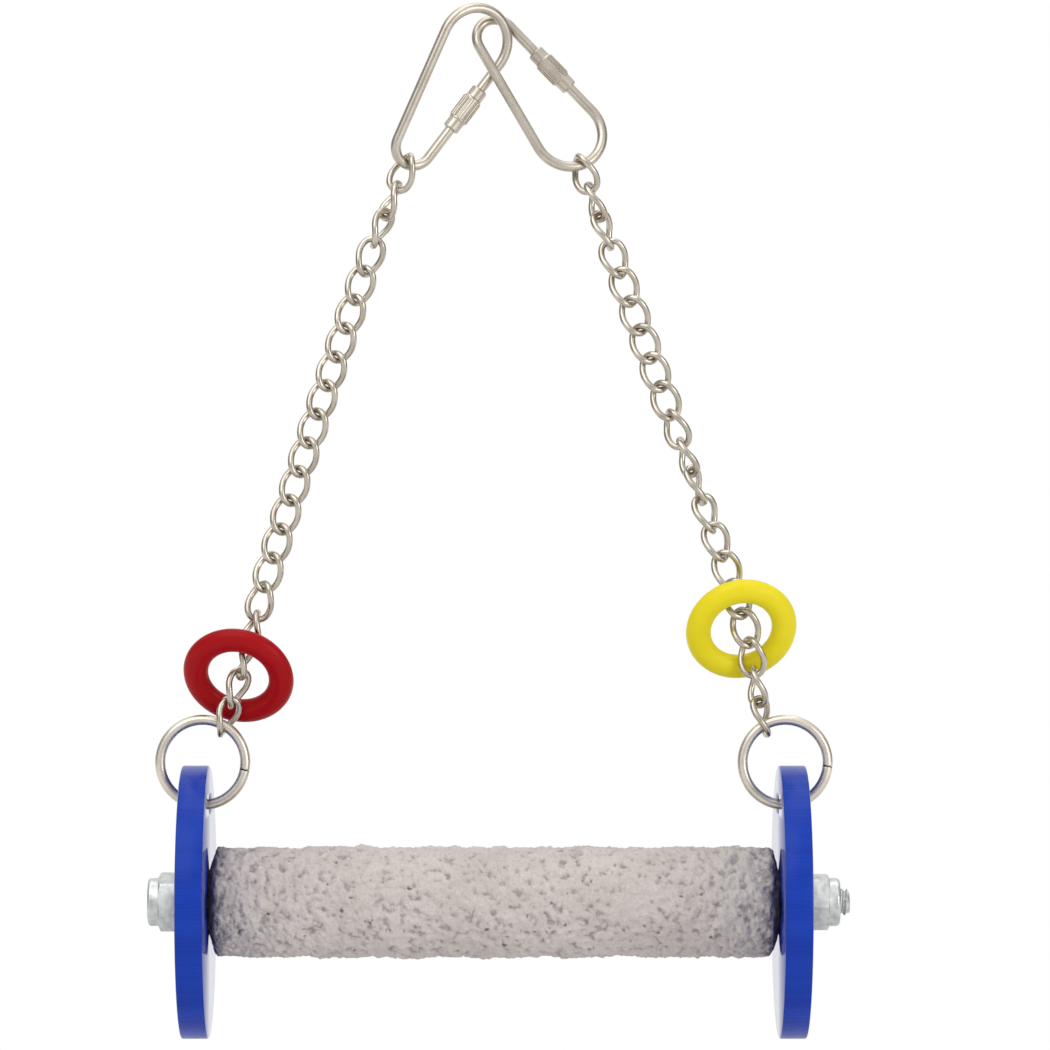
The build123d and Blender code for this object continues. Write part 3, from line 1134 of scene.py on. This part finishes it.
@dataclass
class SteelRing:
    """A ring of nickel wire with a butt joint."""

    hand: Hand
    gap_angle: float
    diameter: float = 22.2 * MM
    wire: float = 2.38 * MM
    butt_gap: float = 0.06 * MM
    end_ease: float = 0.2 * MM
    seam_share: float = 0.8
    sides: int = 28
    steps: int = 110

    def mark_seam(self, mesh: bpy.types.Mesh, centre: Vector) -> None:
        """Marks the two cut ends, which get painted shadow: the shade inside the joint, over the bare ends'
        own dull metal.

        Args:
            mesh: the ring, in place.
            centre: the ring's middle.
        """
        angle = math.radians(self.gap_angle)
        outward = np.array((math.cos(angle), 0.0, math.sin(angle)))
        along = np.array((-math.sin(angle), 0.0, math.cos(angle)))
        points = points_of(mesh) - np.array(centre)
        from_joint = np.abs(points @ along + self.butt_gap / 2)
        reach = self.butt_gap / 2 + self.seam_share * self.end_ease
        mark(mesh, "seam", (from_joint < reach) & (points @ outward > 0))

    def build(self, wire: GeometryTree, finish: PlatedSteel) -> None:
        """Makes the ring.

        Args:
            wire: the tree that bends wire.
            finish: its finish.
        """
        name = f"{self.hand.value}_steel_ring"
        low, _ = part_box(name)
        centre = box_middle(name)
        centre.x = low.x + self.diameter / 2
        radius = (self.diameter - self.wire) / 2
        gap = math.degrees(self.butt_gap / radius)
        x_way, z_way = Vector((1, 0, 0)), Vector((0, 0, 1))
        points = arc(centre, x_way, z_way, radius, self.gap_angle, 360 - gap, self.steps)
        line = line_mesh(name + "_line", points, closed=False)
        sizes = {"Wire Radius": self.wire / 2, "Sides": self.sides}
        mesh = wire.make(name, line, finish.material(), sizes)
        ease_sharp_edges(mesh, self.end_ease)
        self.mark_seam(mesh, centre)
        shade(mesh)
        present(mesh, f"{name}_wire", name, name)


@dataclass
class ToyRing:
    """A loose moulded ring with an oval section and a fine parting line."""

    name: str
    slot: str
    diameter: float = 26.1 * MM
    section_width: float = 5.9 * MM
    section_thickness: float = 4.7 * MM
    parting_height: float = 0.05 * MM
    sides: int = 144
    section_points: int = 56

    def build(self, finish: MouldedPlastic) -> None:
        """Makes the ring round the axis of its joint.

        Args:
            finish: its finish.
        """
        radius = (self.diameter - self.section_width) / 2
        profile = []
        for step in range(self.section_points):
            angle = 2 * math.pi * (step + 0.5) / self.section_points
            swell = self.parting_height if step in (0, self.section_points - 1) else 0.0
            along = self.section_thickness / 2 * math.sin(angle)
            reach = self.section_width / 2 - self.parting_height + swell
            profile.append((along, radius + reach * math.cos(angle)))
        mesh = lathe(self.name, profile, self.sides)
        shade(mesh, sharp_degrees=60.0)
        way = joint_axis(f"{self.name}_spin").to_track_quat("X", "Z").to_matrix().to_4x4()
        mesh.transform(Matrix.Translation(joint_point(f"{self.name}_spin")) @ way)
        present(mesh, f"{self.name}_moulded", self.name, self.name, finish.material())


@dataclass
class Perch:
    """The cement perch: a casting whose ends taper in to the discs, roughened and pitted."""

    body: str = PERCH_BODY
    taper_length: float = 1.8 * MM
    taper_depth: float = 5.4 * MM
    shoulder_round: float = 1.6 * MM
    bore: float = ROD_BORE
    rows: int = 396
    sides: int = 212
    face_steps: int = 3
    cone_steps: int = 11
    round_steps: int = 8
    smooth_margin: float = 2.0 * MM

    @property
    def middle(self) -> Vector:
        """The perch's middle."""
        return box_middle("perch")

    @property
    def length(self) -> float:
        """The perch's length."""
        low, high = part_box("perch")
        return high.x - low.x

    @property
    def radius(self) -> float:
        """The perch's radius."""
        low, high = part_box("perch")
        return (high.z - low.z) / 2

    @property
    def slope(self) -> float:
        """The angle between the tapered ends and the axis."""
        return math.atan2(self.taper_depth, self.taper_length)

    @property
    def shoulder(self) -> float:
        """How far from the end faces the straight part starts."""
        return self.taper_length + self.shoulder_round * math.tan(self.slope / 2)

    def half_outline(self) -> list[tuple[float, float]]:
        """Follows one end from the bore out to where the straight part starts.

        Returns:
            Points of (distance from the end face, radius).
        """
        flat = self.radius - self.taper_depth
        curve = []
        for step in range(self.round_steps + 1):
            angle = self.slope * (1 - step / self.round_steps)
            fall = self.shoulder_round * (1 - math.cos(angle))
            curve.append((self.shoulder - self.shoulder_round * math.sin(angle), self.radius - fall))
        foot, rise = curve[0]
        face = np.linspace(self.bore / 2, flat, self.face_steps, endpoint=False)
        cone = np.linspace(0.0, 1.0, self.cone_steps, endpoint=False)
        points = [(0.0, float(radius)) for radius in face]
        points += [(foot * float(part), flat + (rise - flat) * float(part)) for part in cone]
        return points + curve

    def build(self, cement: GeometryTree, finish: RoughCement) -> None:
        """Makes the perch.

        Args:
            cement: the tree that roughens it.
            finish: its finish.
        """
        half, end = self.length / 2, self.half_outline()
        straight = half - self.shoulder
        outline = [(-half + x, r) for x, r in end]
        outline += [(-straight + 2 * straight * i / self.rows, self.radius) for i in range(1, self.rows)]
        outline += [(half - x, r) for x, r in reversed(end)]
        mesh = lathe("perch_casting", outline, self.sides)
        from_end = half - np.abs(points_of(mesh)[:, 0])
        mark(mesh, "skin", np.clip(from_end / self.smooth_margin, 0, 1))
        mesh = cement.make("perch", mesh, finish.material(self), {})
        mesh.transform(Matrix.Translation(self.middle))
        present(mesh, "perch_cement", self.body, "perch")


@dataclass
class EndDisc:
    """A blue acrylic disc with a bore for the rod and a hole for the steel ring."""

    hand: Hand
    body: str = PERCH_BODY
    bore: float = ROD_BORE
    ring_hole: float = 5.2 * MM
    ring_hole_offset: float = 22.9 * MM
    edge_break: float = 0.4 * MM
    curve_steps: int = 40

    def outline(self, radius: float) -> bpy.types.Curve:
        """Draws the disc as a flat curve with its two holes.

        Args:
            radius: the disc's radius.

        Returns:
            The curve, which has no thickness yet.
        """
        curve = bpy.data.curves.new("disc_outline", "CURVE")
        curve.dimensions = "2D"
        curve.fill_mode = "BOTH"
        curve.resolution_u = self.curve_steps
        kappa = 4 / 3 * math.tan(math.pi / 8)
        centre, ring_hole_at = Vector((0, 0, 0)), Vector((0, self.ring_hole_offset, 0))
        rounds = ((centre, radius), (centre, self.bore / 2), (ring_hole_at, self.ring_hole / 2))
        for middle, reach in rounds:
            spline = curve.splines.new("BEZIER")
            spline.bezier_points.add(3)
            spline.use_cyclic_u = True
            for quarter, point in enumerate(spline.bezier_points):
                way = Matrix.Rotation(math.pi / 2 * quarter, 3, "Z")
                point.co = middle + way @ Vector((reach, 0, 0))
                point.handle_left = middle + way @ Vector((reach, -kappa * reach, 0))
                point.handle_right = middle + way @ Vector((reach, kappa * reach, 0))
        return curve

    def mark_rim(self, mesh: bpy.types.Mesh, radius: float) -> None:
        """Marks the rim, and lays a map round it for the saw's lines.

        Args:
            mesh: the disc about its own middle, its axis along Z.
            radius: the disc's radius.
        """
        points = points_of(mesh)
        mark(mesh, "rim", np.hypot(points[:, 0], points[:, 1]) > radius - 0.1 * self.edge_break)
        lines = mesh.uv_layers.new(name="rim_lines")
        for polygon in mesh.polygons:
            facing = math.atan2(polygon.center.y, polygon.center.x)
            for loop in polygon.loop_indices:
                point = mesh.vertices[mesh.loops[loop].vertex_index].co
                angle = math.atan2(point.y, point.x)
                angle += 2 * math.pi * round((facing - angle) / (2 * math.pi))
                lines.data[loop].uv = (angle * radius, point.z)

    def build(self, finish: CastAcrylic) -> None:
        """Makes the disc.

        Args:
            finish: its finish.
        """
        node = f"{self.hand.value}_end_disc"
        low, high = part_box(node)
        radius, thickness = (high.z - low.z) / 2, high.x - low.x
        curve = self.outline(radius - self.edge_break)
        curve.extrude = thickness / 2 - self.edge_break
        curve.bevel_depth = self.edge_break
        curve.bevel_resolution = 1
        mesh = plain_mesh(enter("disc_outline", curve))
        turn_outward(mesh)
        self.mark_rim(mesh, radius)
        shade(mesh, sharp_degrees=25.0)
        stand = Matrix(((0, 0, 1), (1, 0, 0), (0, 1, 0))).to_4x4()
        mesh.transform(Matrix.Translation(box_middle(node)) @ stand)
        present(mesh, f"{node}_acrylic", self.body, node, finish.material())


@dataclass
class ClampRod:
    """The threaded rod through the perch, with its lock nuts and their nylon inserts."""

    body: str = PERCH_BODY
    thread_length: float = 12.0 * MM
    end_chamfer: float = 0.6 * MM
    tip_radius: float = 0.02 * MM
    row: float = 0.09 * MM
    sides: int = 56
    nut_edge: float = 0.14 * MM
    insert_edge: float = 0.1 * MM

    def build(self, thread: GeometryTree, zinc: PlatedSteel, nylon: MouldedPlastic) -> None:
        """Makes the rod, the nuts and the inserts.

        Args:
            thread: the tree that cuts the thread.
            zinc: the finish of the rod and the nuts.
            nylon: the finish of the inserts.
        """
        low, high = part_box("threaded_rod")
        middle = box_middle("threaded_rod")
        half, radius = (high.x - low.x) / 2, (high.z - low.z) / 2
        rows = int(self.thread_length / self.row)
        end = [(0.0, self.tip_radius), (0.0, radius - self.end_chamfer), (self.end_chamfer, radius)]
        end += [(self.end_chamfer + self.row * i, radius) for i in range(1, rows)]
        outline = [(-half + x, r) for x, r in end] + [(half - x, r) for x, r in reversed(end)]
        mesh = lathe("rod", outline, self.sides)
        points = points_of(mesh)
        from_end = half - np.abs(points[:, 0])
        last_row = self.end_chamfer + self.row * (rows - 2)
        mark(mesh, "cut", (from_end < last_row) & (np.hypot(points[:, 1], points[:, 2]) > radius / 2))
        mesh.transform(Matrix.Translation(middle))
        mesh = thread.make("threaded_rod", mesh, zinc.material(), {"Axis Y": middle.y, "Axis Z": middle.z})
        shade(mesh, sharp_degrees=40.0)
        present(mesh, "threaded_rod_cut", self.body, "threaded_rod")
        for hand in Hand:
            node = f"{hand.value}_lock_nut"
            nut = cleaned_copy(node, self.nut_edge)
            present(nut, f"{node}_plated", self.body, node, zinc.material())
            node = f"{hand.value}_nylon_insert"
            insert = cleaned_copy(node, self.insert_edge)
            present(insert, f"{node}_ring", self.body, node, nylon.material())


@dataclass(frozen=True)
class Lamp:
    """One soft square lamp."""

    name: str
    place: Vector
    aim: Vector
    size: float
    watts: float

    def light(self) -> None:
        """Hangs the lamp."""
        data = bpy.data.lights.new(self.name, "AREA")
        data.shape = "SQUARE"
        data.size = self.size
        data.energy = self.watts
        lamp = enter(self.name, data)
        lamp.location = self.place
        lamp.rotation_euler = (self.aim - self.place).to_track_quat("-Z", "Y").to_euler()


@dataclass
class Studio:
    """The white room, its soft lamps, the pale floor and the camera.

    Its middle is a point of the swing's plane, midway between the chains.
    """

    middle: Vector
    distance: float = 1220 * MM
    frame_width: float = 244.76 * MM
    frame_middle_x: float = 10.96 * MM
    frame_middle_z: float = -119.2 * MM
    sensor: float = 36.0
    floor_drop: float = 36 * MM
    floor_reach: float = 1600 * MM
    fade_start: float = 100 * MM
    fade_end: float = 330 * MM
    room_light: float = 0.65
    room_side: float = 0.34
    room_front: float = 0.92
    room_camera: float = 0.50
    back_range: Range = (0.45, 0.85)
    front_range: Range = (0.2, 0.6)
    camera_range: Range = (0.88, 0.97)
    above_range: Range = (0.25, 0.8)
    floor_colour: Colour = (0.86, 0.86, 0.86)

    def camera(self) -> None:
        """Sets the camera square to the swing, as the photograph was taken."""
        data = bpy.data.cameras.new("camera")
        data.sensor_width = self.sensor
        data.lens = self.sensor * self.distance / self.frame_width
        data.shift_x = (self.frame_middle_x - self.middle.x) / self.frame_width
        data.clip_start = 10 * MM
        camera = enter("camera", data)
        camera.location = (self.middle.x, self.middle.y - self.distance, self.frame_middle_z)
        camera.rotation_euler = (math.pi / 2, 0, 0)
        bpy.context.scene.camera = camera

    def room(self) -> None:
        """Paints the room: white behind the object, softer light on it, and grey sides for metal to show."""
        world = bpy.data.worlds.new("white_room")
        bpy.context.scene.world = world
        world.use_nodes = True
        world.node_tree.nodes.clear()
        sheet = NodeSheet(world.node_tree)
        way = sheet.value("ShaderNodeTexCoord", output="Generated")
        _, y, z = sheet.parts(way)
        seen = sheet.light_path("Is Camera Ray", "Is Transmission Ray")
        mirrored = sheet.light_path("Is Glossy Ray")
        back = y.ramp(*self.back_range)
        front = (-y).ramp(*self.front_range) * self.room_front
        front = front - (-y).ramp(*self.camera_range) * (self.room_front - self.room_camera)
        above = z.ramp(*self.above_range)
        studio = back.at_least(front).at_least(above).at_least(self.room_side)
        plain = self.room_light + mirrored * (studio - self.room_light)
        strength = plain + seen * (1 - plain)
        white = sheet.value("ShaderNodeBackground", None, {"Color": (1, 1, 1, 1), "Strength": strength})
        sheet.add("ShaderNodeOutputWorld", None, {"Surface": white})

    def floor(self) -> None:
        """Lays the floor under the swing."""
        level = CAD_BOX[0].z - self.floor_drop
        mesh = bpy.data.meshes.new("floor")
        with editing(mesh) as work:
            bmesh.ops.create_circle(work, cap_ends=True, segments=96, radius=self.floor_reach)
        mesh.transform(Matrix.Translation((self.middle.x, self.middle.y, level)))
        finish = PaleFloor("pale_floor", self.floor_colour, self.fade_start, self.fade_end, self.middle)
        mesh.materials.append(finish.material())
        floor = enter("floor", mesh)

    def build(self) -> None:
        """Makes the whole room."""
        self.camera()
        self.room()
        self.floor()
        aim = Vector((self.middle.x, self.middle.y, self.frame_middle_z))
        lamps = (
            Lamp("key_softbox", aim + Vector((-0.45, -0.85, 0.95)), aim, size=1.2, watts=6.5),
            Lamp("fill_softbox", aim + Vector((0.85, -0.75, 0.15)), aim, size=0.6, watts=2.6),
            Lamp("top_softbox", aim + Vector((0.05, 0.15, 1.0)), aim, size=0.8, watts=2.0),
        )
        for lamp in lamps:
            lamp.light()
        bpy.context.scene.view_settings.view_transform = "Standard"


BRIGHT_NICKEL = PlatedSteel("bright_nickel", Plating.NICKEL, (0.58, 0.53, 0.45), (0.47, 0.42, 0.35), 0.22)
RING_NICKEL = PlatedSteel("ring_nickel", Plating.NICKEL, (0.73, 0.67, 0.58), (0.63, 0.57, 0.48), 0.34)
LINK_NICKEL = PlatedSteel("quick_link_nickel", Plating.NICKEL, (0.60, 0.55, 0.47), (0.50, 0.45, 0.38), 0.28)
SLEEVE_NICKEL = PlatedSteel("sleeve_nickel", Plating.NICKEL, (0.60, 0.55, 0.47), (0.49, 0.44, 0.37), 0.32)
BRIGHT_ZINC = PlatedSteel(
    "bright_zinc",
    Plating.ZINC,
    (0.68, 0.69, 0.67),
    (0.52, 0.54, 0.54),
    0.34,
    cloud_size=1.6 * MM,
    mark_size=0.9 * MM,
    mark_depth=0.07 * MM,
)
RED_PLASTIC = MouldedPlastic("red_plastic", (0.36, 0.0022, 0.005), (0.42, 0.006, 0.010), shine=0.13)
YELLOW_PLASTIC = MouldedPlastic("yellow_plastic", (0.80, 0.67, 0.008), (0.84, 0.72, 0.03))
NYLON = MouldedPlastic("natural_nylon", (0.72, 0.72, 0.69), (0.80, 0.80, 0.78), 0.42)
BLUE_ACRYLIC = CastAcrylic("blue_acrylic", (0.005, 0.032, 0.32), (0.009, 0.052, 0.43))
CEMENT = RoughCement(
    "rough_cement",
    colour=(0.60, 0.541, 0.508),
    pale_colour=(0.66, 0.60, 0.564),
    # The dark colour also paints shade into the hollows; the pit colour paints shade into the pits; the end
    # colour paints shade and the discs' blue reflection onto the perch's ends.
    dark_grain_and_shade_colour=(0.29, 0.255, 0.25),
    pit_shade_colour=(0.13, 0.115, 0.115),
    disc_shade_and_reflection_colour=(0.17, 0.15, 0.20),
    speck_colour=(0.80, 0.74, 0.71),
)

LEFT_TURNS = ((1, 145), (4, 24), (6, 0), (14, 0), (15, -6), (16, -24), (18, -98), (19, -126), (20, -126))
RIGHT_TURNS = (
    (1, 140), (4, 25), (6, 0), (8, 0), (9, -8), (13, -135), (15, -170), (17, -184), (18, -208), (20, -292),
)


def main() -> None:
    """Builds the swing from the top down, and then the room round it."""
    logging.basicConfig(level=logging.INFO)
    wire = round_wire_tree()
    knurl = knurl_tree()
    tops = [joint_point(f"{hand.value}_link_01_swing") for hand in Hand]
    links = ((Hand.LEFT, tops[0]), (Hand.RIGHT, joint_point("right_quick_link_roll")))
    chains = ((Hand.LEFT, LEFT_TURNS), (Hand.RIGHT, RIGHT_TURNS))
    for hand, seat in links:
        QuickLink(hand, seat).build(wire, knurl, LINK_NICKEL, SLEEVE_NICKEL)
    for hand, turns in chains:
        TwistedChain(hand, turns).build(wire, BRIGHT_NICKEL)
    ToyRing("red_ring", "red_plastic").build(RED_PLASTIC)
    ToyRing("yellow_ring", "yellow_plastic").build(YELLOW_PLASTIC)
    SteelRing(Hand.LEFT, gap_angle=-10.0).build(wire, RING_NICKEL)
    SteelRing(Hand.RIGHT, gap_angle=-5.0).build(wire, RING_NICKEL)
    Perch().build(cement_tree(), CEMENT)
    for hand in Hand:
        EndDisc(hand).build(BLUE_ACRYLIC)
    ClampRod().build(thread_tree(), BRIGHT_ZINC, NYLON)
    Studio((tops[0] + tops[1]) / 2).build()


if __name__ == "__main__":
    main()
